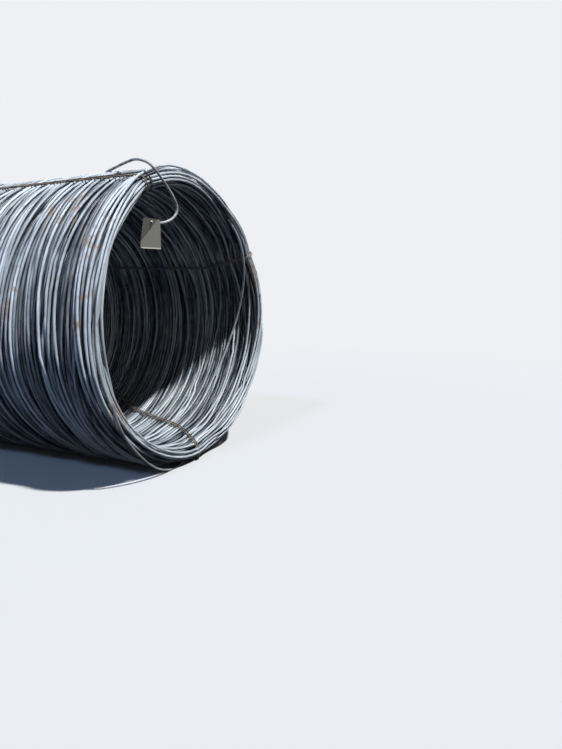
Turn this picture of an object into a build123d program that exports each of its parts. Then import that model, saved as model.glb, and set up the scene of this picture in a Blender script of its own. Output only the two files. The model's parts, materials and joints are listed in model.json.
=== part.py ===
"""Coil of hot-rolled wire rod lying on its side, with its ties, its tag and the rod's free end.

Millimetres. The coil's axis is Y, the mouth that carries the tag is at -Y, and +Z is up.
The origin is on the axis, halfway along the coil. Angles are measured round the axis
from +X towards +Z, as seen from the tag's side.
"""

import os
from math import acos, cos, radians, sin, sqrt, tan

from build123d import *

os.makedirs("parts", exist_ok=True)

# The coil: its rod, and the tube that the turns add up to.
rod_diameter = 10.0
outer_diameter = 1200.0
wall_thickness = 70.0
coil_length = 1400.0
groove_between_turns = 3.0

# The ties: one soft wire laid double, pulled into the turns and twisted shut.
tie_angles = {"tie_top": 118.0, "tie_right": 30.0, "tie_bottom": 282.0}
tie_wire_diameter = 6.0
tie_strand_overlap = 0.5
tie_stands_proud = 2.0
knot_diameter = 10.0
knot_length = 55.0
knot_down_the_lip = 50.0

# The tag: a stamped plate hung on the rod's free end.
tag_width = 80.0
tag_height = 105.0
tag_thickness = 1.5
tag_corner_radius = 6.0
tag_turned = -25.0
tag_hole_play = 2.0
tag_hole_below_top = 13.0
tag_angle = 129.0
tag_in_from_bore = 73.5
tag_out_of_mouth = 5.0

# The rod's free end: where it rests on the barrel, and how it passes the tag's hole.
end_rests_from = 84.0
end_rests_to = 92.0
hook_behind_tag = 28.0
hook_before_tag = 14.0

# Clearances, the share of a run that a bend may take, and the sides that thin round wire is given.
seat_gap = 0.3
bend_share = 0.45
round_sides = 8

outer_radius = outer_diameter / 2
bore_radius = outer_radius - wall_thickness
lip_radius = wall_thickness / 2
lip_centre_radius = bore_radius + lip_radius
straight_half = coil_length / 2 - lip_radius
turns_across_end = int(wall_thickness // rod_diameter)
mouth = -coil_length / 2
rod_radius = rod_diameter / 2
strand_radius = tie_wire_diameter / 2
tie_width = 2 * tie_wire_diameter - tie_strand_overlap
strand_depth = strand_radius - tie_stands_proud
seat_depth = tie_wire_diameter - tie_stands_proud + seat_gap
seat_width = tie_width + 2 * seat_gap
knot_radius = knot_diameter / 2


def lip_point(turns, relief):
    """Point on a lip's round section, so many turns across the end from the barrel to the bore."""
    angle = acos(1 - 2 * turns / turns_across_end)
    reach = lip_radius - relief
    return (lip_centre_radius + reach * cos(angle), straight_half + reach * sin(angle))


def lip_outline():
    """One ridge for each turn that an end shows, with a groove between each pair."""
    points = [lip_point(0, 0), lip_point(0.5, 0)]
    for turn in range(1, turns_across_end):
        points.append(lip_point(turn, groove_between_turns))
        points.append(lip_point(turn + 0.5, 0))
    points.append(lip_point(turns_across_end, 0))
    return points


def around(radius, angle, along):
    """Point at this radius and angle round the axis, this far along it."""
    return Vector(radius * cos(radians(angle)), along, radius * sin(radians(angle)))


def axial_plane(angle):
    """Plane that holds the axis: its X points outwards at this angle, its Y along the coil."""
    outwards = around(1, angle, 0)
    return Plane(origin=(0, 0, 0), x_dir=outwards, z_dir=outwards.cross(Vector(0, 1, 0)))


def cut_tie_seat(angle):
    """Slot that a tie has pulled into the turns, all the way round the wall."""
    with BuildSketch(axial_plane(angle)) as slot:
        with Locations((lip_centre_radius, 0)):
            Rectangle(2 * wall_thickness, coil_length + wall_thickness)
            SlotCenterToCenter(
                2 * straight_half, wall_thickness - 2 * seat_depth, rotation=90, mode=Mode.SUBTRACT
            )
    extrude(slot.sketch, amount=seat_width / 2, both=True, mode=Mode.SUBTRACT)


def bend_radii(points):
    """Radius at each inner point of a route, as large as its two runs leave room for."""
    radii = []
    for before, corner, after in zip(points, points[1:], points[2:]):
        arriving = corner - before
        leaving = after - corner
        turn = radians(arriving.get_angle(leaving))
        radii.append(bend_share * min(arriving.length, leaving.length) / tan(turn / 2))
    return radii


# The coil is one turned solid. Its end turns show as ridges round both lips.
with BuildPart() as wire_rod_coil:
    with BuildSketch(Plane.XY):
        with BuildLine():
            Line((outer_radius, 0), (outer_radius, straight_half))
            Polyline(*lip_outline())
            Line((bore_radius, straight_half), (bore_radius, 0))
            mirror(about=Plane.XZ)
        make_face()
    revolve(axis=Axis.Y)
    for tie_angle in tie_angles.values():
        cut_tie_seat(tie_angle)
wire_rod_coil.part.label = "wire_rod_coil"
export_step(wire_rod_coil.part, "parts/wire_rod_coil.step")

# Each tie runs along the barrel, over both lips and through the bore. Its twist lies on the far lip.
for tie_name, tie_angle in tie_angles.items():
    tie_plane = axial_plane(tie_angle)
    barrel_side = outer_radius - strand_depth
    bore_side = bore_radius + strand_depth
    lip_top = straight_half + lip_radius - strand_depth
    knot_reach = lip_radius + knot_radius + seat_gap
    knot_place = (
        lip_centre_radius + knot_reach * cos(radians(knot_down_the_lip)),
        straight_half + knot_reach * sin(radians(knot_down_the_lip)),
    )
    with BuildPart() as tie:
        with BuildLine(tie_plane) as loop:
            Line((barrel_side, -straight_half), (barrel_side, straight_half))
            ThreePointArc((barrel_side, straight_half), (lip_centre_radius, lip_top), (bore_side, straight_half))
            Line((bore_side, straight_half), (bore_side, -straight_half))
            ThreePointArc((bore_side, -straight_half), (lip_centre_radius, -lip_top), (barrel_side, -straight_half))
        start = tie_plane.from_local_coords(Vector(barrel_side, -straight_half, 0))
        with BuildSketch(Plane(origin=start, x_dir=tie_plane.x_dir, z_dir=tie_plane.y_dir)) as strands:
            Rectangle(tie_wire_diameter, tie_width)
            chamfer(strands.vertices(), length=(2 - sqrt(2)) * strand_radius)
        sweep(path=loop.wires()[0])
        with BuildSketch(tie_plane):
            with Locations(knot_place):
                RegularPolygon(knot_radius, round_sides)
        extrude(amount=knot_length)
    tie.part.label = tie_name
    export_step(tie.part, f"parts/{tie_name}.step")

# The tag hangs by its hole, turned a little towards the open side.
tag_hole_radius = rod_radius + tag_hole_play
tag_hole_drop = tag_hole_radius - rod_radius - seat_gap
tag_across = Vector(cos(radians(tag_turned)), sin(radians(tag_turned)), 0)
tag_faces = tag_across.cross(Vector(0, 0, 1))
tag_hangs_at = around(bore_radius - tag_in_from_bore, tag_angle, mouth - tag_out_of_mouth)
tag_plane = Plane(origin=tag_hangs_at, x_dir=tag_across, z_dir=tag_faces)
with BuildPart() as tag:
    with BuildSketch(tag_plane):
        with Locations((0, tag_hole_below_top - tag_hole_drop - tag_height / 2)):
            RectangleRounded(tag_width, tag_height, tag_corner_radius)
        with Locations((0, -tag_hole_drop)):
            Circle(tag_hole_radius, mode=Mode.SUBTRACT)
    extrude(amount=tag_thickness / 2, both=True)
tag.part.label = "tag"
export_step(tag.part, "parts/tag.step")

# The rod's free end comes off the barrel, rises, bends down over the lip and hooks through the tag.
rest_radius = (outer_radius + rod_radius + seat_gap) / cos(radians((end_rests_to - end_rests_from) / 2))
over_lip = mouth - rod_radius - seat_gap
end_route = [
    around(rest_radius, end_rests_from, mouth + 312),
    around(rest_radius, end_rests_to, mouth + 304),
    around(outer_radius + 13, 104, mouth + 268),
    around(outer_radius + 22, 108.5, mouth + 204),
    around(outer_radius + 36, 112, mouth + 128),
    around(outer_radius + 44, 115, mouth + 60),
    around(outer_radius + 31, 116, mouth + 8),
    around(outer_radius + 6, 115.5, over_lip - 4),
    around(lip_centre_radius, 112.4, over_lip),
    around(bore_radius - 68, 104.6, mouth),
    around(bore_radius - 115, 104.2, mouth + 9),
    around(bore_radius - 128, 115.0, mouth + 15),
    tag_hangs_at - tag_faces * hook_behind_tag,
    tag_hangs_at + tag_faces * hook_before_tag,
]
with BuildPart() as rod_end:
    with BuildLine() as route:
        FilletPolyline(*end_route, radius=bend_radii(end_route))
    with BuildSketch(Plane(origin=route.line @ 0, z_dir=route.line % 0)):
        RegularPolygon(rod_radius, round_sides)
    sweep(path=route.wires()[0])
rod_end.part.label = "rod_end"
export_step(rod_end.part, "parts/rod_end.step")
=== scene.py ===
"""Looks of a coil of wire rod: its loose turns, its ties, its tag and the rod's free end.

Metres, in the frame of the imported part. The coil's axis is Y, the mouth that carries the tag is
at -Y, and +Z is up. Angles are in degrees round the axis, from +X towards +Z, as seen from the
tag's side.
"""

from __future__ import annotations

import json
import logging
import math
from dataclasses import dataclass, field
from enum import Enum

import bmesh
import bpy
import numpy as np
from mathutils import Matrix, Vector


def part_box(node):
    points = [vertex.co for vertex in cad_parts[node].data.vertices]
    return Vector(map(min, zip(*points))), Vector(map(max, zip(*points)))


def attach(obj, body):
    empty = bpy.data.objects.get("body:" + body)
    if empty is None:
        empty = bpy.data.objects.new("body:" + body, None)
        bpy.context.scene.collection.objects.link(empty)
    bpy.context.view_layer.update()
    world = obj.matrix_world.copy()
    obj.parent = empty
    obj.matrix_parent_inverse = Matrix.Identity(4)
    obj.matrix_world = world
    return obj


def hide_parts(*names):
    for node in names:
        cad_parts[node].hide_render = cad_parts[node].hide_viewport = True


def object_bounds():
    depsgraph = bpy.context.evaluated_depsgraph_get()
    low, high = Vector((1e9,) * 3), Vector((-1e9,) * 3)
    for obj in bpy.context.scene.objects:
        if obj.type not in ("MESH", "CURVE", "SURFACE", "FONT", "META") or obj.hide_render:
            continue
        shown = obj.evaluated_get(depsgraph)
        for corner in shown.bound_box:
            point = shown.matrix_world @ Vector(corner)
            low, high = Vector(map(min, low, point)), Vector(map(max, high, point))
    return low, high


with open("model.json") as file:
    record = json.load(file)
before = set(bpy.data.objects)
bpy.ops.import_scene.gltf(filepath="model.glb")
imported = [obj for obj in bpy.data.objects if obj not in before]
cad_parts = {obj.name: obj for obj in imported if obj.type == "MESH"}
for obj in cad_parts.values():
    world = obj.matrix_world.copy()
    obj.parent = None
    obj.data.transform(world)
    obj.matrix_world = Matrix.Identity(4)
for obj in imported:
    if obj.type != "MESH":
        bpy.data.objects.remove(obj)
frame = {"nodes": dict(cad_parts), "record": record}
cad_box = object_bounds()

log = logging.getLogger("coil")

BODY = "root"
MM = 0.001
SKY_BLUE = "#A2C6FF"
# Vertices nearer than this are one.
WELD_WITHIN = 0.01 * MM
# How far along both its sides a corner is cut, as a share of each side.
CORNER_CUT = 0.25
# The least distance that anything is divided by.
TINY = 1e-6

# A number, or one for each station of a rod.
Values = np.ndarray | float
# A rod's course, in metres and degrees: at each point its offset from the wall's middle, its
# angle, and how far in from the mouth it lies.
Course = tuple[tuple[float, float, float], ...]
# A tie's wander in the bore: how far in from the mouth, and by how many degrees.
Wander = tuple[tuple[float, float], ...]


class Slot(Enum):
    """The record's material slots."""

    ROD = "mill_scale_steel"
    TIE = "rusted_tie_wire"
    TAG = "tag_plate"


class Mark(Enum):
    """What a rod's mesh tells its finish at each point: wear and painted shade, metres along it,
    rust.
    """

    WEAR_AND_DEPTH_SHADE = "rod_wear_and_depth_shade"
    METRES = "rod_metres"
    RUST = "rod_rust"


def linear(hex_colour: str) -> tuple[float, float, float, float]:
    """Turn an sRGB hex colour into linear light.

    Args:
        hex_colour: Six hex digits after a hash mark.

    Returns:
        Red, green, blue and alpha.
    """
    channels = [int(hex_colour[i : i + 2], 16) / 255 for i in (1, 3, 5)]
    light = [c / 12.92 if c <= 0.04045 else ((c + 0.055) / 1.055) ** 2.4 for c in channels]
    return (*light, 1.0)


def add_node(
    tree: bpy.types.NodeTree,
    kind: str,
    inputs: dict[str | int, object] | None = None,
    **settings: object,
) -> bpy.types.Node:
    """Add a node with its settings, its input values and its links.

    Args:
        tree: The material's node tree.
        kind: The node's Blender type.
        inputs: For each input, the socket that feeds it or its own value.
        settings: The node's own properties.

    Returns:
        The new node.
    """
    node = tree.nodes.new(kind)
    for name, value in settings.items():
        setattr(node, name, value)
    for name, value in (inputs or {}).items():
        if isinstance(value, bpy.types.NodeSocket):
            tree.links.new(value, node.inputs[name])
        else:
            node.inputs[name].default_value = value
    return node


def new_material(name: str) -> bpy.types.Material:
    """Make a material with an empty node tree.

    Args:
        name: What the real thing is made of.

    Returns:
        The new material.
    """
    material = bpy.data.materials.new(name)
    material.use_nodes = True
    material.node_tree.nodes.clear()
    return material


@dataclass(frozen=True)
class MillScale:
    """Hot-rolled low-carbon steel rod under its mill scale, a skin of magnetite.

    Magnetite is a dark blue-grey oxide, and the yard's dust lies on it, so each rod is dark with a
    soft pale line of light along it. Turns at the surface are scuffed and weathered pale. Those
    below are darker the deeper they lie: partly their own unscuffed dark scale, and partly painted
    shade that deepens the gaps between rods. Rust blooms where the scale has cracked off: a few
    small spots anywhere, and more where the coil was handled.
    """

    scale_colour: str = "#2E3845"
    worn_colour: str = "#D6E1EA"
    rust_colour: str = "#94755E"
    ior: float = 1.55
    roughness: float = 0.42
    patch_size: float = 35 * MM
    streak_length: float = 90 * MM
    # The scale's own grain is finer, and is drawn as coarse as it needs to show.
    grain_size: float = 4 * MM
    grain_height: float = 0.4 * MM
    grain_strength: float = 0.6
    streaks_in_wear: float = 0.6
    worn_between: tuple[float, float] = (0.30, 1.25)
    streaks_in_rust: float = 0.35
    handling_in_rust: float = 0.22
    rust_between: tuple[float, float] = (0.82, 0.98)
    rust_most: float = 0.75
    rust_roughness: float = 0.4

    def material(self) -> bpy.types.Material:
        """Build the material's nodes.

        Returns:
            The finished material.
        """
        made = new_material("hot_rolled_mill_scale")
        tree = made.node_tree
        place = add_node(tree, "ShaderNodeTexCoord").outputs["Object"]
        marks = {
            mark: add_node(tree, "ShaderNodeAttribute", attribute_name=mark.value).outputs["Fac"]
            for mark in Mark
        }
        streak = add_node(
            tree,
            "ShaderNodeTexNoise",
            {"W": marks[Mark.METRES], "Scale": 1 / self.streak_length, "Detail": 3.0},
            noise_dimensions="1D",
        ).outputs["Fac"]
        # Scuffed scale is pale, in streaks along the rod. The wear mark also holds painted shade:
        # turns below the surface are darker the deeper they lie.
        wear = add_node(
            tree,
            "ShaderNodeMath",
            {0: streak, 1: self.streaks_in_wear, 2: marks[Mark.WEAR_AND_DEPTH_SHADE]},
            operation="MULTIPLY_ADD",
        ).outputs[0]
        least, most = self.worn_between
        pale_share = add_node(
            tree, "ShaderNodeMapRange", {"Value": wear, "From Min": least, "From Max": most}
        ).outputs[0]
        steel = add_node(
            tree,
            "ShaderNodeMix",
            {0: pale_share, 6: linear(self.scale_colour), 7: linear(self.worn_colour)},
            data_type="RGBA",
        ).outputs[2]
        # Rust blooms in patches that reach a little along the rod, and more where it was handled.
        patch = add_node(
            tree,
            "ShaderNodeTexNoise",
            {"Vector": place, "Scale": 1 / self.patch_size, "Detail": 4.0},
        ).outputs["Fac"]
        bloom = add_node(
            tree,
            "ShaderNodeMath",
            {0: streak, 1: self.streaks_in_rust, 2: patch},
            operation="MULTIPLY_ADD",
        ).outputs[0]
        handled = add_node(
            tree,
            "ShaderNodeMath",
            {0: marks[Mark.RUST], 1: self.handling_in_rust, 2: bloom},
            operation="MULTIPLY_ADD",
        ).outputs[0]
        least, most = self.rust_between
        rust = add_node(
            tree,
            "ShaderNodeMapRange",
            {"Value": handled, "From Min": least, "From Max": most, "To Max": self.rust_most},
        ).outputs[0]
        colour = add_node(
            tree,
            "ShaderNodeMix",
            {0: rust, 6: steel, 7: linear(self.rust_colour)},
            data_type="RGBA",
        ).outputs[2]
        # Rust is more matt than scale, and the grain breaks the line of light on both.
        rough = add_node(
            tree,
            "ShaderNodeMath",
            {0: rust, 1: self.rust_roughness, 2: self.roughness},
            operation="MULTIPLY_ADD",
        ).outputs[0]
        grain = add_node(
            tree,
            "ShaderNodeTexNoise",
            {"Vector": place, "Scale": 1 / self.grain_size, "Detail": 2.0},
        ).outputs["Fac"]
        relief = add_node(
            tree,
            "ShaderNodeBump",
            {"Height": grain, "Distance": self.grain_height, "Strength": self.grain_strength},
        ).outputs[0]
        skin = add_node(
            tree,
            "ShaderNodeBsdfPrincipled",
            {"Base Color": colour, "Roughness": rough, "IOR": self.ior, "Normal": relief},
        )
        add_node(tree, "ShaderNodeOutputMaterial", {"Surface": skin.outputs[0]})
        return made


@dataclass(frozen=True)
class TieRustAndShade:
    """Soft annealed iron wire that has rusted in the open: matt and brown, darker in places.

    Inside the coil, out of the rain, it keeps more of its dark annealed skin, so the light rust
    Between two places along the coil's axis the light rust fades into the dark colour, as painted
    shade where the wire runs into the shaded bore.
    """

    name: str
    light_colour: str
    dark_and_shade_colour: str
    painted_shade_from: float
    painted_shade_to: float
    roughness: float = 0.8
    patch_size: float = 30 * MM
    patch_between: tuple[float, float] = (0.35, 0.65)

    def material(self) -> bpy.types.Material:
        """Build the material's nodes.

        Returns:
            The finished material.
        """
        made = new_material(self.name)
        tree = made.node_tree
        place = add_node(tree, "ShaderNodeTexCoord").outputs["Object"]
        patch = add_node(
            tree,
            "ShaderNodeTexNoise",
            {"Vector": place, "Scale": 1 / self.patch_size, "Detail": 5.0},
        ).outputs["Fac"]
        least, most = self.patch_between
        share = add_node(
            tree, "ShaderNodeMapRange", {"Value": patch, "From Min": least, "From Max": most}
        ).outputs[0]
        along = add_node(tree, "ShaderNodeSeparateXYZ", {0: place}).outputs["Y"]
        # Painted shade: between the two places along the axis the light rust fades into the dark
        # colour.
        left = add_node(
            tree,
            "ShaderNodeMapRange",
            {
                "Value": along,
                "From Min": self.painted_shade_from,
                "From Max": self.painted_shade_to,
                "To Min": share,
                "To Max": 0.0,
            },
        ).outputs[0]
        colour = add_node(
            tree,
            "ShaderNodeMix",
            {0: left, 6: linear(self.dark_and_shade_colour), 7: linear(self.light_colour)},
            data_type="RGBA",
        ).outputs[2]
        skin = add_node(
            tree, "ShaderNodeBsdfPrincipled", {"Base Color": colour, "Roughness": self.roughness}
        )
        add_node(tree, "ShaderNodeOutputMaterial", {"Surface": skin.outputs[0]})
        return made


@dataclass(frozen=True)
class TagPlate:
    """Mill-finish aluminium sheet under a film of dust: a dull grey, clouded by the weather."""

    colour: str = "#75746C"
    roughness: float = 0.5
    roughness_play: float = 0.2
    cloud_size: float = 4 * MM
    metallic: float = 0.6

    def material(self) -> bpy.types.Material:
        """Build the material's nodes.

        Returns:
            The finished material.
        """
        made = new_material("weathered_aluminium_sheet")
        tree = made.node_tree
        place = add_node(tree, "ShaderNodeTexCoord").outputs["Object"]
        cloud = add_node(
            tree,
            "ShaderNodeTexNoise",
            {"Vector": place, "Scale": 1 / self.cloud_size, "Detail": 4.0},
        ).outputs["Fac"]
        rough = add_node(
            tree,
            "ShaderNodeMath",
            {0: cloud, 1: self.roughness_play, 2: self.roughness},
            operation="MULTIPLY_ADD",
        ).outputs[0]
        skin = add_node(
            tree,
            "ShaderNodeBsdfPrincipled",
            {"Base Color": linear(self.colour), "Roughness": rough, "Metallic": self.metallic},
        )
        add_node(tree, "ShaderNodeOutputMaterial", {"Surface": skin.outputs[0]})
        return made


def turned_from(angles: Values, centre: float) -> Values:
    """Find how far angles are turned from a centre, the shorter way round, in degrees."""
    return (angles - centre + 180) % 360 - 180


def bell(away: Values, spread: float) -> Values:
    """Fall smoothly from one, where nothing is away, towards zero past the spread."""
    return np.exp(-0.5 * np.square(away / spread))


def ease(angles: Values, centre: float, spread: float) -> Values:
    """Rise to one at the centre and fall away smoothly on both sides, all in degrees."""
    return bell(turned_from(angles, centre), spread)


@dataclass(frozen=True)
class Sag:
    """A place where the wall has left its round course: its angle, its spread and how far out."""

    angle: float
    spread: float
    outwards: float


@dataclass
class Section:
    """The wall's section at each angle: a long band with round lips.

    The band sags under the coil's weight, and each tie pulls both lips in and squeezes the wall.
    Loose turns stand a little proud of it.
    """

    wall: float
    middle_radius: float
    straight_half: float
    tie_angles: tuple[float, ...]
    sags: tuple[Sag, ...] = (
        Sag(angle=64, spread=19, outwards=-0.030),
        Sag(angle=-15, spread=35, outwards=0.014),
        Sag(angle=235, spread=25, outwards=0.012),
        Sag(angle=200, spread=17, outwards=0.022),
    )
    tie_pull: float = 10 * MM
    tie_pull_spread: float = 11.0
    tie_squeeze: float = 7 * MM
    tie_squeeze_spread: float = 4.5
    proud: float = 6 * MM

    def mouth(self) -> float:
        """Find where the mouth lies along the axis."""
        return -self.straight_half - self.wall / 2

    def middle(self, angle: Values) -> Values:
        """Find the radius of the wall's middle at each angle, in degrees."""
        sagged = sum(sag.outwards * ease(angle, sag.angle, sag.spread) for sag in self.sags)
        return self.middle_radius + sagged

    def half_length(self, angle: Values) -> Values:
        """Find the half-length of the wall's straight part at each angle, in degrees."""
        pulled = sum(ease(angle, tie, self.tie_pull_spread) for tie in self.tie_angles)
        return self.straight_half - self.tie_pull * pulled

    def held(self, angle: Values) -> Values:
        """Find how firmly the ties hold the turns at each angle, from 0 to 1."""
        return sum(ease(angle, tie, self.tie_squeeze_spread) for tie in self.tie_angles)

    def half_wall(self, angle: Values) -> Values:
        """Find half the wall's thickness at each angle, in degrees."""
        return self.wall / 2 - self.tie_squeeze * self.held(angle)


@dataclass(frozen=True)
class Stray:
    """A stretch of one turn that stands off from the others, as the photo shows it.

    The turn is the one that lies nearest the place, which is given by its angle, its offset from
    the wall's middle and its distance in from the mouth. From there its course moves away to
    both sides over the spread.
    """

    angle: float
    offset: float
    in_from_mouth: float
    spread: float
    outwards: float
    towards_mouth: float


@dataclass
class RodLay:
    """How one continuous rod lies in its turns.

    Each turn is a ring off the axis by part of the wall, so that it touches the barrel on one
    side and the bore on the other, as a laying head drops it. Turns that overlap are then pushed
    apart until every rod passes over or under its neighbours. The rods of the surface lie at
    uneven depths, which leaves long tapering gaps between them.
    """

    section: Section
    strays: tuple[Stray, ...]
    rod_radius: float = 5 * MM
    turns: int = 500
    stations: int = 72
    seed: int = 5
    # How far round the axis each ring's centre stands from the last one's, in whole turns.
    turning_least: float = -0.10
    turning_most: float = 0.35
    # How far that centre stands off the axis, as a share of the room in the wall.
    reach_least: float = 0.4
    reach_most: float = 1.0
    # How uneven the turns are, and how much looser they tilt at both ends.
    size_spread: float = 6 * MM
    tilt_spread: float = 26 * MM
    tilt_growth: float = 1.2
    wave_spread: float = 8 * MM
    # How deep the rod's course may lie below the surface, and how often a turn draws that.
    depth_most: float = 17 * MM
    depth_knots: int = 3
    # How far the rod may stand out of a lip, away from the ties.
    mouth_play: float = 9 * MM
    settling_rounds: int = 60
    last_rounds: int = 10
    neighbours: int = 14
    # How much air two rods are pushed apart to leave between them.
    play: float = 2.5 * MM
    # For each station: its angle, its offset from the wall's middle, its place along the axis and
    # how far from the middle it may lie.
    angle: np.ndarray = field(init=False)
    offset: np.ndarray = field(init=False)
    along: np.ndarray = field(init=False)
    limit: np.ndarray = field(init=False)

    def place(self) -> None:
        """Lay the rod, let it settle and pull its stray stretches out."""
        self._drop()
        first_offset, first_along = self.offset.copy(), self.along.copy()
        for step in range(self.settling_rounds + self.last_rounds):
            self._push_apart()
            if step < self.settling_rounds:
                self.offset = first_offset + self._soften(self.offset - first_offset)
                self.along = first_along + self._soften(self.along - first_along)
            self._keep_in()
        for stray in self.strays:
            self._pull_out(stray)

    def points(self) -> np.ndarray:
        """Find the rod's course.

        Returns:
            One row for each station.
        """
        radius = self.section.middle(self.angle) + self.offset
        turned = np.radians(self.angle)
        return np.column_stack([radius * np.cos(turned), self.along, radius * np.sin(turned)])

    def depth(self) -> np.ndarray:
        """Find how deep the rod lies below the wall's surface.

        Returns:
            The depth at each station.
        """
        past = np.maximum(np.abs(self.along) - self.section.half_length(self.angle), 0)
        surface = self.section.half_wall(self.angle) - self.rod_radius
        return np.maximum(0, surface - np.hypot(self.offset, past))

    def _drop(self) -> None:
        """Drop the turns, each off the axis and tilted at random."""
        rng = np.random.default_rng(self.seed)
        count = self.turns * self.stations
        turn = np.arange(count) / self.stations
        turned = 2 * np.pi * (np.arange(count) % self.stations) / self.stations
        self.angle = np.degrees(turned)
        knots = np.arange(self.turns + 1)

        def spread(values: np.ndarray) -> np.ndarray:
            """Run smoothly from each turn's value to the next."""
            return np.interp(turn, knots, values)

        # Squared, so that most of the rod lies near the surface.
        depth = rng.random(self.turns * self.depth_knots + 1) ** 2 * self.depth_most
        depth = np.interp(turn, np.arange(len(depth)) / self.depth_knots, depth)
        surface = self.section.half_wall(self.angle) + self.section.proud
        self.limit = surface - self.rod_radius - depth
        turning = rng.uniform(self.turning_least, self.turning_most, self.turns + 1)
        heading = np.cumsum(turning) * 2 * np.pi
        most = self.section.wall / 2 - self.rod_radius
        reach = rng.uniform(self.reach_least, self.reach_most, self.turns + 1) * most
        size = rng.normal(0, self.size_spread, self.turns + 1)
        tilt_heading = rng.uniform(0, 2 * np.pi, self.turns + 1)
        # The high power keeps the looser tilt to the turns next to both ends.
        looser = 1 + self.tilt_growth * np.abs(2 * knots / self.turns - 1) ** 6
        tilt = rng.normal(0, self.tilt_spread, self.turns + 1) * looser
        wave = rng.normal(0, self.wave_spread, self.turns + 1)
        self.offset = spread(reach) * np.cos(turned - spread(heading)) + spread(size)
        # The first turn lies at the far end, where the share is -1, and the last at the mouth.
        share = 2 * turn / self.turns - 1
        lip = np.sqrt(np.maximum(0, self.limit**2 - self.offset**2))
        self.along = -share * (self.section.half_length(self.angle) + lip)
        self.along += spread(tilt) * np.cos(turned - spread(tilt_heading))
        self.along += spread(wave) * np.sin(2 * turned + 3 * spread(tilt_heading))

    def _push_apart(self) -> None:
        """Move both rods of each pair that overlaps away by half of the overlap."""
        by_turn = (self.turns, self.stations)
        order = np.argsort(self.along.reshape(by_turn), axis=0)
        across = np.take_along_axis(self.offset.reshape(by_turn), order, 0)
        down = np.take_along_axis(self.along.reshape(by_turn), order, 0)
        moved_across, moved_down = across.copy(), down.copy()
        apart = 2 * self.rod_radius + self.play
        for step in range(1, self.neighbours + 1):
            d_across = across[step:] - across[:-step]
            d_down = down[step:] - down[:-step]
            distance = np.hypot(d_across, d_down) + TINY
            share = np.maximum(apart - distance, 0) / (2 * distance)
            moved_across[step:] += share * d_across
            moved_down[step:] += share * d_down
            moved_across[:-step] -= share * d_across
            moved_down[:-step] -= share * d_down
        new_offset, new_along = np.empty_like(across), np.empty_like(down)
        np.put_along_axis(new_offset, order, moved_across, 0)
        np.put_along_axis(new_along, order, moved_down, 0)
        self.offset, self.along = new_offset.ravel(), new_along.ravel()

    def _soften(self, shift: np.ndarray) -> np.ndarray:
        """Spread each shift along the rod, as the rod's stiffness does.

        Args:
            shift: How far each station has moved.

        Returns:
            For each station, half of its own shift and a quarter of each neighbour's.
        """
        padded = np.pad(shift, 1, mode="edge")
        return 0.25 * padded[:-2] + 0.5 * padded[1:-1] + 0.25 * padded[2:]

    def _keep_in(self) -> None:
        """Pull the rod back into the wall's section, loosely at the lips."""
        straight = self.section.half_length(self.angle)
        past = np.sign(self.along) * np.maximum(np.abs(self.along) - straight, 0)
        loose = self.mouth_play * (1 - self.section.held(self.angle))
        room = self.limit + loose * np.minimum(1, np.abs(past) / self.limit)
        share = np.minimum(1, room / np.maximum(np.hypot(self.offset, past), TINY))
        self.offset *= share
        self.along += past * (share - 1)

    def _pull_out(self, stray: Stray) -> None:
        """Move one stretch of the rod to where the photo shows it.

        Args:
            stray: The stretch and its place.
        """
        step = 360 / self.stations
        here = np.abs(turned_from(self.angle, stray.angle)) < step
        inwards = self.along - self.section.mouth()
        miss = np.hypot(self.offset - stray.offset, inwards - stray.in_from_mouth)
        nearest = int(np.argmin(np.where(here, miss, np.inf)))
        turned = (np.arange(len(self.angle)) - nearest) * step
        share = bell(turned, stray.spread)
        self.offset += share * stray.outwards
        self.along -= share * stray.towards_mouth


def rod_mesh(
    name: str,
    points: np.ndarray,
    radius: float,
    sides: int = 6,
    marks: dict[Mark, np.ndarray] | None = None,
) -> bpy.types.Mesh:
    """Make a round rod along a line of points.

    Args:
        name: The mesh's name.
        points: One row for each point.
        radius: The rod's radius.
        sides: Flats round the rod, an even number.
        marks: For each mark that its finish reads, a value for each point.

    Returns:
        The rod's mesh, with round shading and closed ends.
    """
    curve = bpy.data.curves.new(name, "CURVE")
    curve.dimensions = "3D"
    curve.bevel_depth = radius
    # A round bevel has four sides, and two more for each step of its resolution.
    curve.bevel_resolution = (sides - 4) // 2
    curve.use_fill_caps = True
    spline = curve.splines.new("POLY")
    spline.points.add(len(points) - 1)
    spline.points.foreach_set("co", np.column_stack([points, np.ones(len(points))]).ravel())
    holder = bpy.data.objects.new(name + "_line", curve)
    mesh = bpy.data.meshes.new_from_object(holder)
    bpy.data.objects.remove(holder)
    bpy.data.curves.remove(curve)
    mesh.name = name
    for mark, values in (marks or {}).items():
        # The last and the first point's caps come before the rod's own rings.
        rings = np.concatenate([values[-1:], values[:1], values])
        attribute = mesh.attributes.new(mark.value, "FLOAT", "POINT")
        attribute.data.foreach_set("value", np.repeat(rings, sides).astype(np.float32))
    weld(mesh)
    return mesh


def weld(mesh: bpy.types.Mesh) -> None:
    """Join vertices that lie on each other, and turn the faces outwards.

    Args:
        mesh: The mesh to mend.
    """
    bm = bmesh.new()
    bm.from_mesh(mesh)
    bmesh.ops.remove_doubles(bm, verts=bm.verts, dist=WELD_WITHIN)
    bmesh.ops.recalc_face_normals(bm, faces=bm.faces)
    bm.to_mesh(mesh)
    bm.free()


def finished(bm: bmesh.types.BMesh, name: str) -> bpy.types.Mesh:
    """Turn a bmesh into a mesh, and free it.

    Args:
        bm: The finished bmesh.
        name: The mesh's name.

    Returns:
        The new mesh.
    """
    mesh = bpy.data.meshes.new(name)
    bm.to_mesh(mesh)
    bm.free()
    return mesh


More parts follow.
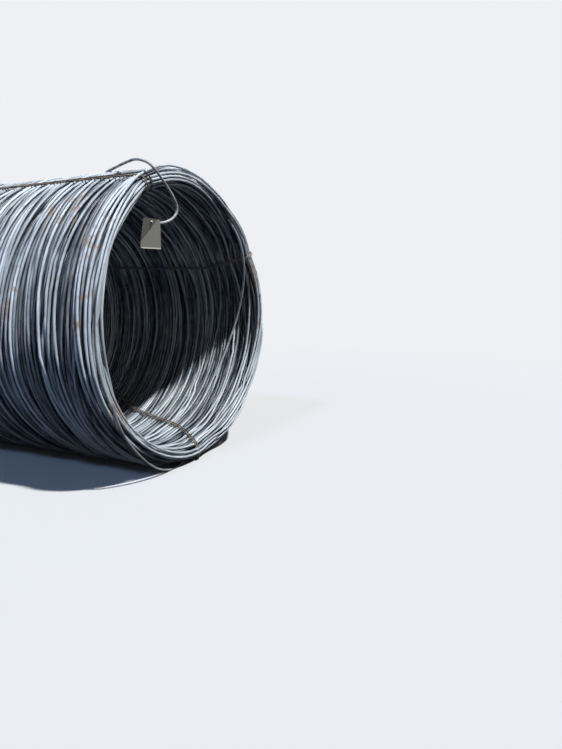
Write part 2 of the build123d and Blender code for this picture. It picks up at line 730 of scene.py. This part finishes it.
def joined(rods: list[bpy.types.Mesh], name: str) -> bpy.types.Mesh:
    """Make one mesh of a few rods.

    Args:
        rods: The rods' own meshes, which are used up.
        name: The mesh's name.

    Returns:
        The new mesh.
    """
    bm = bmesh.new()
    for rod in rods:
        bm.from_mesh(rod)
        bpy.data.meshes.remove(rod)
    return finished(bm, name)


def around(radius: float, angle: float, along: float) -> Vector:
    """Find the point at this radius and angle round the axis, this far along it."""
    turned = math.radians(angle)
    return Vector((radius * math.cos(turned), along, radius * math.sin(turned)))


def course_points(section: Section, course: Course) -> list[Vector]:
    """Find the points of a course round the coil.

    Args:
        section: The wall's section.
        course: The course.

    Returns:
        Its points.
    """
    return [
        around(section.middle(angle) + offset, angle, section.mouth() + inwards)
        for offset, angle, inwards in course
    ]


def metres_along(route: np.ndarray) -> np.ndarray:
    """Measure the rod's length from its start to each point of its course."""
    return np.concatenate([[0], np.cumsum(np.linalg.norm(np.diff(route, axis=0), axis=1))])


def plain_marks(route: np.ndarray, wear: float, rust: float) -> dict[Mark, np.ndarray]:
    """Give a single rod the marks that its finish reads.

    Args:
        route: The rod's course, one row for each point.
        wear: How pale its scale has been scuffed, from 0 to 1.
        rust: How much it was handled, from 0 to 1.

    Returns:
        For each mark, its value at each point.
    """
    return {
        Mark.WEAR_AND_DEPTH_SHADE: np.full(len(route), wear),
        Mark.METRES: metres_along(route),
        Mark.RUST: np.full(len(route), rust),
    }


def rounded(points: np.ndarray, rounds: int) -> np.ndarray:
    """Round a line's corners by cutting each of them a few times.

    Args:
        points: One row for each point.
        rounds: How often every corner is cut.

    Returns:
        The rounded line, with its ends where they were.
    """
    for _ in range(rounds):
        early = (1 - CORNER_CUT) * points[:-1] + CORNER_CUT * points[1:]
        late = CORNER_CUT * points[:-1] + (1 - CORNER_CUT) * points[1:]
        cut = np.stack([early, late], axis=1).reshape(-1, 3)
        points = np.vstack([points[:1], cut, points[-1:]])
    return points


def tie_angle(node: str) -> float:
    """Find the angle round the axis at which a tie crosses the mouth.

    Args:
        node: The tie's CAD node.

    Returns:
        The angle in degrees.
    """
    places = [vertex.co for vertex in frame["nodes"][node].data.vertices if vertex.co.y < 0]
    middle = sum(places, Vector()) / len(places)
    return math.degrees(math.atan2(middle.z, middle.x)) % 360


def add_piece(
    mesh: bpy.types.Mesh, material: bpy.types.Material, slot: Slot, *nodes: str
) -> bpy.types.Object:
    """Add a finished piece to the scene.

    Args:
        mesh: The piece's mesh, in its place.
        material: Its finish.
        slot: The record's slot for that finish. It is not used.
        nodes: The CAD nodes that it stands for.

    Returns:
        The piece's object.
    """
    piece = bpy.data.objects.new(mesh.name, mesh)
    bpy.context.scene.collection.objects.link(piece)
    mesh.materials.clear()
    mesh.materials.append(material)
    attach(piece, BODY)
    if nodes:
        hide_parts(*nodes)
    log.info("%s: %d faces", piece.name, len(mesh.polygons))
    return piece


@dataclass(frozen=True)
class RustPatch:
    """A patch of light rust: its place, its spread round the axis and its reach along it."""

    angle: float
    in_from_mouth: float
    spread: float
    reach: float


@dataclass(frozen=True)
class Stretch:
    """A stretch of rod that crosses other turns on top, with its course, its wear and its rust."""

    course: Course
    wear: float
    rust: float = 0.3


@dataclass
class Coil:
    """The coil's turns, as one rod cut into a few lengths to keep each mesh small."""

    section: Section
    finish: bpy.types.Material
    names: tuple[str, ...] = (
        "turns_at_far_end",
        "turns_past_middle",
        "turns_before_middle",
        "turns_at_mouth",
    )
    strays: tuple[Stray, ...] = (
        Stray(
            angle=106,
            offset=0.030,
            in_from_mouth=0.02,
            spread=11,
            outwards=0.015,
            towards_mouth=0.006,
        ),
        Stray(
            angle=195,
            offset=-0.030,
            in_from_mouth=0.03,
            spread=14,
            outwards=-0.022,
            towards_mouth=0.004,
        ),
    )
    stretches: tuple[Stretch, ...] = (
        Stretch(
            # This stretch is drawn darker than the others.
            wear=0.25,
            course=(
                (-0.034, 188.0, 0.045),
                (-0.024, 199.0, 0.016),
                (-0.006, 207.0, -0.006),
                (0.016, 213.5, -0.012),
                (0.027, 219.0, -0.012),
                (0.033, 225.0, -0.010),
                (0.040, 232.0, -0.006),
                (0.047, 239.0, 0.000),
                (0.052, 247.0, 0.010),
                (0.046, 257.0, 0.026),
                (0.024, 268.0, 0.050),
            ),
        ),
        Stretch(
            wear=0.7,
            course=(
                (-0.024, 56.0, 0.012),
                (-0.038, 41.0, 0.008),
                (-0.046, 22.0, 0.040),
                (-0.046, 0.0, 0.105),
                (-0.040, 341.0, 0.165),
                (-0.024, 326.0, 0.200),
            ),
        ),
        Stretch(
            wear=0.6,
            course=(
                (-0.028, 138.0, 0.055),
                (-0.037, 152.0, 0.030),
                (-0.032, 164.0, 0.012),
                (-0.029, 174.0, 0.004),
                (-0.035, 181.0, 0.005),
                (-0.048, 190.0, 0.012),
                (-0.059, 198.0, 0.022),
                (-0.063, 206.0, 0.034),
                (-0.050, 217.0, 0.058),
                (-0.024, 227.0, 0.085),
            ),
        ),
    )
    patches: tuple[RustPatch, ...] = (
        RustPatch(angle=140, in_from_mouth=0.245, spread=4, reach=0.09),
        RustPatch(angle=154, in_from_mouth=0.055, spread=6, reach=0.03),
        RustPatch(angle=177, in_from_mouth=0.050, spread=7, reach=0.03),
        RustPatch(angle=176, in_from_mouth=0.387, spread=5, reach=0.05),
        RustPatch(angle=212, in_from_mouth=0.010, spread=6, reach=0.02),
        RustPatch(angle=20, in_from_mouth=0.010, spread=12, reach=0.03),
    )
    least_wear: float = 0.36
    # Below the surface the pale wear fades over this depth: painted shade in the gaps between rods,
    # and partly the deeper turns' own dark scale.
    depth_shade_reach: float = 4 * MM
    corner_cuts: int = 4
    stretch_sides: int = 12
    core_sides: int = 72
    core_wall: float = 8 * MM
    core_past_straight: float = 10 * MM

    def build(self) -> None:
        """Lay the rod and make its lengths."""
        lay = RodLay(self.section, self.strays)
        lay.place()
        points = lay.points()
        rng = np.random.default_rng(lay.seed)
        turn = np.arange(len(points)) / lay.stations
        tones = np.interp(turn, np.arange(lay.turns + 1), rng.random(lay.turns + 1))
        scuffed = self.least_wear + (1 - self.least_wear) * tones
        marks = {
            # Painted shade: the wear fades with depth below the surface, so deeper turns are
            # darker.
            Mark.WEAR_AND_DEPTH_SHADE: scuffed * np.exp(-lay.depth() / self.depth_shade_reach),
            Mark.METRES: metres_along(points),
            Mark.RUST: self._rust(lay),
        }
        share = lay.turns // len(self.names) * lay.stations
        for number, name in enumerate(self.names):
            reach = slice(number * share, (number + 1) * share + 1)
            own = {mark: values[reach] for mark, values in marks.items()}
            mesh = rod_mesh(name, points[reach], lay.rod_radius, marks=own)
            add_piece(mesh, self.finish, Slot.ROD, "wire_rod_coil")
        self._stretches(lay.rod_radius)
        self._core()

    def _stretches(self, rod_radius: float) -> None:
        """Add the stretches that cross other turns on top, with both ends among them.

        Args:
            rod_radius: The rod's radius.
        """
        rods = []
        for stretch in self.stretches:
            points = np.array(course_points(self.section, stretch.course))
            route = rounded(points, self.corner_cuts)
            marks = plain_marks(route, stretch.wear, stretch.rust)
            rods.append(rod_mesh("stretch", route, rod_radius, self.stretch_sides, marks))
        mesh = joined(rods, "crossing_turns")
        add_piece(mesh, self.finish, Slot.ROD, "wire_rod_coil")

    def _core(self) -> None:
        """Add a dark tube for the turns that are never seen, in the middle of the wall."""
        bm = bmesh.new()
        bmesh.ops.create_cone(
            bm,
            segments=self.core_sides,
            radius1=1,
            radius2=1,
            depth=2 * (self.section.straight_half + self.core_past_straight),
            cap_ends=False,
        )
        for vertex in bm.verts:
            angle = math.degrees(math.atan2(vertex.co.y, vertex.co.x))
            vertex.co = around(self.section.middle(angle), angle, vertex.co.z)
        bmesh.ops.solidify(bm, geom=bm.faces[:], thickness=self.core_wall)
        bmesh.ops.recalc_face_normals(bm, faces=bm.faces)
        mesh = finished(bm, "unseen_turns")
        add_piece(mesh, self.finish, Slot.ROD, "wire_rod_coil")

    def _rust(self, lay: RodLay) -> np.ndarray:
        """Find how much rust the rod carries.

        Args:
            lay: The rod's lay.

        Returns:
            A share from 0 to 1 for each station.
        """
        in_from_mouth = lay.along - self.section.mouth()
        rust = np.zeros(len(lay.angle))
        for patch in self.patches:
            near = bell(in_from_mouth - patch.in_from_mouth, patch.reach)
            rust += near * ease(lay.angle, patch.angle, patch.spread)
        return np.minimum(1, rust)


@dataclass
class Tie:
    """One soft wire laid double round the wall, pulled tight and twisted shut on the far lip.

    Its two strands part a little at the mouth and meet at the twist. In the bore they wander
    sideways. On the barrel they run straight, from where they cross the mouth to the twist.
    """

    node: str
    section: Section
    finish: bpy.types.Material
    parted_at_mouth: float
    wander: Wander
    wire_radius: float = 3 * MM
    bedding: float = 2 * MM
    corner_cuts: int = 2
    lip_steps: int = 12
    straight_steps: int = 24
    twist_length: float = 55 * MM
    twist_pitch: float = 16 * MM
    twist_down_the_lip: float = 50.0
    twist_steps_a_turn: int = 12

    def build(self) -> None:
        """Make both strands and their twist as one piece."""
        angle = tie_angle(self.node)
        wires = []
        for side in (-1, 1):
            for course in (self._strand(angle, side), self._twist(angle, side)):
                wires.append(rod_mesh("wire", course, self.wire_radius))
        mesh = joined(wires, self.node + "_wires")
        add_piece(mesh, self.finish, Slot.TIE, self.node)

    def _strand(self, angle: float, side: int) -> np.ndarray:
        """Follow the wall's section round, from the far lip's shoulder and back to it.

        Args:
            angle: Where the tie crosses the lips, in degrees.
            side: Which of the two strands, -1 or 1.

        Returns:
            The strand's course, one row for each point.
        """
        # Once round the wall: over the far lip, through the bore, over the mouth's lip and back
        # along the barrel. Out is 1 on the barrel and -1 in the bore, down is 1 at the far lip and
        # -1 at the mouth's, and past is how far a lip's point lies past the straight part.
        lip = np.radians(np.linspace(0, 180, self.lip_steps))
        run = np.linspace(1, -1, self.straight_steps)[1:-1]
        level, straight = np.ones_like(lip), np.ones_like(run)
        out = np.concatenate([np.cos(lip), -straight, -np.cos(lip), straight, [1]])
        down = np.concatenate([level, run, -level, -run, [1]])
        past = np.concatenate([np.sin(lip), 0 * run, -np.sin(lip), 0 * run, [0]])
        section = self.section
        from_mouth = section.straight_half * (1 + down) + section.wall / 2 * (1 + past)
        places, shifts = np.array(self.wander).T
        in_bore = (1 - out) / 2
        on_barrel = (1 - in_bore) * np.interp(down, (-1, 1), (shifts[0], 0))
        at = angle + in_bore * np.interp(from_mouth, places, shifts) + on_barrel
        reach = section.half_wall(at) + section.proud + self.wire_radius - self.bedding
        radius = section.middle(at) + reach * out
        closed = 2 * self.wire_radius
        # Squared, so that the strands part mostly near the mouth.
        apart = closed + (self.parted_at_mouth - closed) * np.clip((1 - down) / 2, 0, 1) ** 2
        turned = np.radians(at) + side * apart / 2 / radius
        along = section.half_length(at) * down + reach * past
        points = np.column_stack([radius * np.cos(turned), along, radius * np.sin(turned)])
        return rounded(points, self.corner_cuts)

    def _twist(self, angle: float, side: int) -> np.ndarray:
        """Wind one strand round the other, along the far lip's shoulder.

        Args:
            angle: Where the tie crosses the lips, in degrees.
            side: Which of the two strands, -1 or 1.

        Returns:
            The strand's course, one row for each point.
        """
        down = math.radians(self.twist_down_the_lip)
        reach = self.section.half_wall(angle) + 2 * self.wire_radius
        radius = self.section.middle(angle) + reach * math.cos(down)
        along = self.section.half_length(angle) + reach * math.sin(down)
        outwards = around(1, angle, 0)
        onwards = Vector((0, 1, 0))
        run = outwards.cross(onwards)
        turns = self.twist_length / self.twist_pitch
        first = 0 if side > 0 else math.pi
        route = []
        for step in range(int(turns * self.twist_steps_a_turn) + 1):
            share = step / (turns * self.twist_steps_a_turn)
            wound = first + 2 * math.pi * turns * share
            spot = outwards * (radius + self.wire_radius * math.cos(wound))
            spot += onwards * (along + self.wire_radius * math.sin(wound))
            route.append(spot + run * self.twist_length * share)
        return np.array(route)


@dataclass
class Tag:
    """The identity plate, bare of text: thin sheet with its upper left corner and its foot bent."""

    finish: bpy.types.Material
    turned: float = -25.0
    hole_below_top: float = 13 * MM
    rod_above_hole: float = 1.7 * MM
    corner_across: float = -0.77
    corner_up: float = 0.64
    corner_from_hole: float = -14 * MM
    corner_fold: float = 0.55
    foot_height: float = 5 * MM
    foot_fold: float = 0.9
    sharp_past: float = 25.0

    def build(self) -> None:
        """Merge a copy of the node's plate, cut it along two lines and bend it there."""
        bm = bmesh.new()
        bm.from_mesh(frame["nodes"]["tag"].data)
        bmesh.ops.remove_doubles(bm, verts=bm.verts, dist=WELD_WITHIN)
        low = min(vertex.co.z for vertex in bm.verts)
        hole = self.held_at() - Vector((0, 0, self.rod_above_hole))
        up = Vector((0, 0, 1))
        corner = (self.across() * self.corner_across + up * self.corner_up).normalized()
        foot = hole - up * (hole.z - low - self.foot_height)
        self._fold(bm, hole + corner * self.corner_from_hole, corner, self.corner_fold)
        self._fold(bm, foot, -up, self.foot_fold)
        mesh = finished(bm, "tag_plate")
        # The stored normals are those of the loose triangles, before they were merged and bent.
        if mesh.has_custom_normals:
            mesh.attributes.remove(mesh.attributes["custom_normal"])
        mesh.set_sharp_from_angle(angle=math.radians(self.sharp_past))
        add_piece(mesh, self.finish, Slot.TAG, "tag")

    def across(self) -> Vector:
        """Find the direction along the tag's width."""
        turned = math.radians(self.turned)
        return Vector((math.cos(turned), math.sin(turned), 0))

    def faces(self) -> Vector:
        """Find the direction that the tag faces, out of the mouth."""
        return self.across().cross(Vector((0, 0, 1)))

    def held_at(self) -> Vector:
        """Find where the rod passes the tag's hole.

        Returns:
            A point on the rod's middle line.
        """
        low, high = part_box("tag")
        height = high.z - self.hole_below_top + self.rod_above_hole
        return Vector(((low.x + high.x) / 2, (low.y + high.y) / 2, height))

    def _fold(self, bm: bmesh.types.BMesh, start: Vector, towards: Vector, slope: float) -> None:
        """Bend the plate forwards along a line.

        Args:
            bm: The plate.
            start: A point of the line.
            towards: The direction in the plate, square to the line, of the part that is bent.
            slope: How far that part leans forwards, for each metre of its length.
        """
        whole = bm.verts[:] + bm.edges[:] + bm.faces[:]
        bmesh.ops.bisect_plane(bm, geom=whole, plane_co=start, plane_no=towards)
        for vertex in bm.verts:
            past = max(0, (vertex.co - start).dot(towards))
            vertex.co += self.faces() * slope * past


@dataclass
class FreeEnd:
    """The rod's free end, which leaves the turns, rises over the lip and hooks through the tag."""

    section: Section
    finish: bpy.types.Material
    tag: Tag
    rod_radius: float = 5 * MM
    sides: int = 12
    hook_behind_tag: float = 28 * MM
    hook_before_tag: float = 14 * MM
    corner_cuts: int = 4
    wear: float = 0.6
    rust: float = 0.8
    course: Course = (
        (0.012, 74.0, 0.410),
        (0.026, 83.0, 0.400),
        (0.033, 91.0, 0.385),
        (0.036, 98.0, 0.365),
        (0.038, 102.0, 0.335),
        (0.043, 105.0, 0.280),
        (0.055, 108.5, 0.204),
        (0.068, 112.0, 0.128),
        (0.079, 115.0, 0.060),
        (0.066, 116.0, 0.008),
        (0.041, 115.5, -0.009),
        (0.0, 112.4, -0.005),
        (-0.099, 104.6, 0.0),
        (-0.147, 104.2, 0.009),
        (-0.163, 115.0, 0.015),
    )

    def build(self) -> None:
        """Run the rod along its course."""
        points = course_points(self.section, self.course)
        held, faces = self.tag.held_at(), self.tag.faces()
        points += [held - faces * self.hook_behind_tag, held + faces * self.hook_before_tag]
        route = rounded(np.array(points), self.corner_cuts)
        marks = plain_marks(route, self.wear, self.rust)
        mesh = rod_mesh("free_end_of_rod", route, self.rod_radius, self.sides, marks)
        add_piece(mesh, self.finish, Slot.ROD, "rod_end")


@dataclass(frozen=True)
class Lamp:
    """A distant light: which way it stands, its strength, its width in degrees and its colour."""

    name: str
    towards: tuple[float, float, float]
    strength: float
    softness: float
    colour: str = "#FFFFFF"

    def build(self) -> None:
        """Add the light, and turn it to shine from where it stands."""
        light = bpy.data.lights.new(self.name, "SUN")
        light.energy = self.strength
        light.angle = math.radians(self.softness)
        light.color = linear(self.colour)[:3]
        lamp = bpy.data.objects.new(self.name, light)
        lamp.rotation_mode = "QUATERNION"
        lamp.rotation_quaternion = Vector(self.towards).to_track_quat("Z", "Y")
        bpy.context.scene.collection.objects.link(lamp)


@dataclass
class Studio:
    """Pale floor and backdrop, soft light and the camera at the photograph's viewing angle.

    The soft sky is brightest round the main light. The floor fades into the backdrop farther off,
    and its paint gives little light back, so that the coil's shade stays deep. The camera, mirrors
    and glass see the pale backdrop.
    """

    floor_height: float
    floor_colour: str = "#C8C9CA"
    floor_bounce: str = "#292D35"
    floor_roughness: float = 0.9
    backdrop_colour: str = "#EEF0F3"
    floor_reach: float = 60.0
    floor_fades: tuple[float, float] = (1.2, 6.0)
    main_light: Lamp = Lamp(
        name="main_light", towards=(-0.07, -0.50, 0.87), strength=4.8, softness=3.0
    )
    side_light: Lamp = Lamp(
        name="side_light",
        towards=(-0.75, 0.03, 0.66),
        strength=0.75,
        softness=8.0,
        colour=SKY_BLUE,
    )
    sky_colour: str = SKY_BLUE
    sky_strength: float = 0.015
    sky_between: tuple[float, float] = (0.25, 0.95)
    camera_place: tuple[float, float, float] = (-2.010, -2.058, 0.105)
    camera_heading: float = 25.8
    camera_pitch: float = -8.0
    lens: float = 28.0
    sensor: float = 36.0
    sight: float = 200.0

    def build(self) -> None:
        """Add the floor, the lights and the camera."""
        self._floor()
        self._lights()
        self._camera()

    def _floor(self) -> None:
        """Lay a wide floor that fades into the backdrop."""
        material = new_material("pale_floor_paint")
        tree = material.node_tree
        path = add_node(tree, "ShaderNodeLightPath")
        colour = add_node(
            tree,
            "ShaderNodeMix",
            {
                0: path.outputs["Is Camera Ray"],
                6: linear(self.floor_bounce),
                7: linear(self.floor_colour),
            },
            data_type="RGBA",
        ).outputs[2]
        paint = add_node(
            tree,
            "ShaderNodeBsdfPrincipled",
            {"Base Color": colour, "Roughness": self.floor_roughness},
        )
        backdrop = add_node(tree, "ShaderNodeEmission", {"Color": linear(self.backdrop_colour)})
        place = add_node(tree, "ShaderNodeTexCoord").outputs["Object"]
        distance = add_node(
            tree, "ShaderNodeVectorMath", {0: place}, operation="LENGTH"
        ).outputs["Value"]
        start, end = self.floor_fades
        shown = self._shown(tree, path)
        faded = add_node(
            tree,
            "ShaderNodeMapRange",
            {"Value": distance, "From Min": start, "From Max": end, "To Max": shown},
            interpolation_type="SMOOTHSTEP",
        ).outputs[0]
        surface = add_node(
            tree, "ShaderNodeMixShader", {0: faded, 1: paint.outputs[0], 2: backdrop.outputs[0]}
        )
        add_node(tree, "ShaderNodeOutputMaterial", {"Surface": surface.outputs[0]})
        bm = bmesh.new()
        bmesh.ops.create_grid(bm, x_segments=1, y_segments=1, size=self.floor_reach)
        bmesh.ops.translate(bm, verts=bm.verts, vec=(0, 0, self.floor_height))
        mesh = finished(bm, "floor")
        mesh.materials.append(material)
        floor = bpy.data.objects.new("floor", mesh)
        bpy.context.scene.collection.objects.link(floor)

    def _shown(self, tree: bpy.types.NodeTree, path: bpy.types.Node) -> bpy.types.NodeSocket:
        """Find the rays to which the backdrop shows: the camera's, a mirror's and glass's.

        Args:
            tree: The material's or the world's node tree.
            path: Its Light Path node.

        Returns:
            A socket that is one for these rays.
        """
        shown = path.outputs["Is Camera Ray"]
        for ray in ("Is Glossy Ray", "Is Transmission Ray"):
            shown = add_node(
                tree, "ShaderNodeMath", {0: shown, 1: path.outputs[ray]}, operation="MAXIMUM"
            ).outputs[0]
        return shown

    def _lights(self) -> None:
        """Set the main light, and a soft sky that the camera sees as a plain backdrop."""
        self.main_light.build()
        self.side_light.build()
        world = bpy.data.worlds.new("studio")
        world.use_nodes = True
        tree = world.node_tree
        tree.nodes.clear()
        seen = self._shown(tree, add_node(tree, "ShaderNodeLightPath"))
        way = add_node(tree, "ShaderNodeTexCoord").outputs["Generated"]
        facing = add_node(
            tree,
            "ShaderNodeVectorMath",
            {0: way, 1: Vector(self.main_light.towards).normalized()},
            operation="DOT_PRODUCT",
        ).outputs["Value"]
        start, end = self.sky_between
        strength = add_node(
            tree,
            "ShaderNodeMapRange",
            {"Value": facing, "From Min": start, "From Max": end, "To Max": self.sky_strength},
            interpolation_type="SMOOTHSTEP",
        ).outputs[0]
        sky = add_node(
            tree, "ShaderNodeBackground", {"Color": linear(self.sky_colour), "Strength": strength}
        )
        backdrop = add_node(tree, "ShaderNodeBackground", {"Color": linear(self.backdrop_colour)})
        shown = add_node(
            tree, "ShaderNodeMixShader", {0: seen, 1: sky.outputs[0], 2: backdrop.outputs[0]}
        )
        add_node(tree, "ShaderNodeOutputWorld", {"Surface": shown.outputs[0]})
        bpy.context.scene.world = world

    def _camera(self) -> None:
        """Stand the camera where the photograph was taken."""
        data = bpy.data.cameras.new("camera")
        data.lens = self.lens
        data.sensor_width = self.sensor
        data.clip_end = self.sight
        camera = bpy.data.objects.new("camera", data)
        camera.location = self.camera_place
        camera.rotation_euler = (
            math.radians(90 + self.camera_pitch),
            0,
            math.radians(self.camera_heading - 90),
        )
        bpy.context.scene.collection.objects.link(camera)
        bpy.context.scene.camera = camera


# How each tie wanders in the bore.
STRAIGHT: Wander = ((0.0, 0.0),)
SLOPING: Wander = ((0.03, 0.0), (0.10, -1.5), (0.25, -5.0), (0.70, -4.0), (1.36, 0.0))
WANDERING: Wander = (
    (0.0, -12.5),
    (0.07, -4.8),
    (0.17, 4.0),
    (0.25, 7.2),
    (0.43, 12.0),
    (0.55, 16.0),
    (0.68, 23.5),
    (0.78, 29.0),
    (1.00, 26.0),
    (1.36, 0.0),
)


def main() -> None:
    """Build the studio and the pieces, and report each piece."""
    logging.basicConfig(level=logging.INFO, format="%(message)s")
    bpy.context.scene.view_settings.view_transform = "Standard"
    low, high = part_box("wire_rod_coil")
    bore = frame["record"]["mounts"][0]["dims"]["r_mm"] * MM
    outer = high.x
    wall = outer - bore
    # The weathered ties are brown all along. The fresh one is orange only near the mouth, and
    # farther in it has painted shade: a dark blue-grey where it runs into the shaded bore.
    old_rust = TieRustAndShade(
        name="weathered_annealed_wire",
        light_colour="#968470",
        dark_and_shade_colour="#4A3D35",
        painted_shade_from=high.y,
        painted_shade_to=2 * high.y,
    ).material()
    fresh_rust_and_shade = TieRustAndShade(
        name="freshly_rusted_wire_painted_shade",
        light_colour="#D29C64",
        dark_and_shade_colour="#76818F",
        painted_shade_from=low.y + 98 * MM,
        painted_shade_to=low.y + 154 * MM,
    ).material()
    angles = tuple(tie_angle(node) for node in ("tie_top", "tie_right", "tie_bottom"))
    section = Section(wall, bore + wall / 2, high.y - wall / 2, angles)
    scale = MillScale().material()
    Studio(cad_box[0].z).build()
    Coil(section, scale).build()
    Tie("tie_top", section, old_rust, parted_at_mouth=28 * MM, wander=STRAIGHT).build()
    Tie("tie_right", section, fresh_rust_and_shade, parted_at_mouth=7 * MM, wander=SLOPING).build()
    Tie("tie_bottom", section, old_rust, parted_at_mouth=12 * MM, wander=WANDERING).build()
    tag = Tag(TagPlate().material())
    tag.build()
    FreeEnd(section, scale, tag).build()


if __name__ == "__main__":
    main()
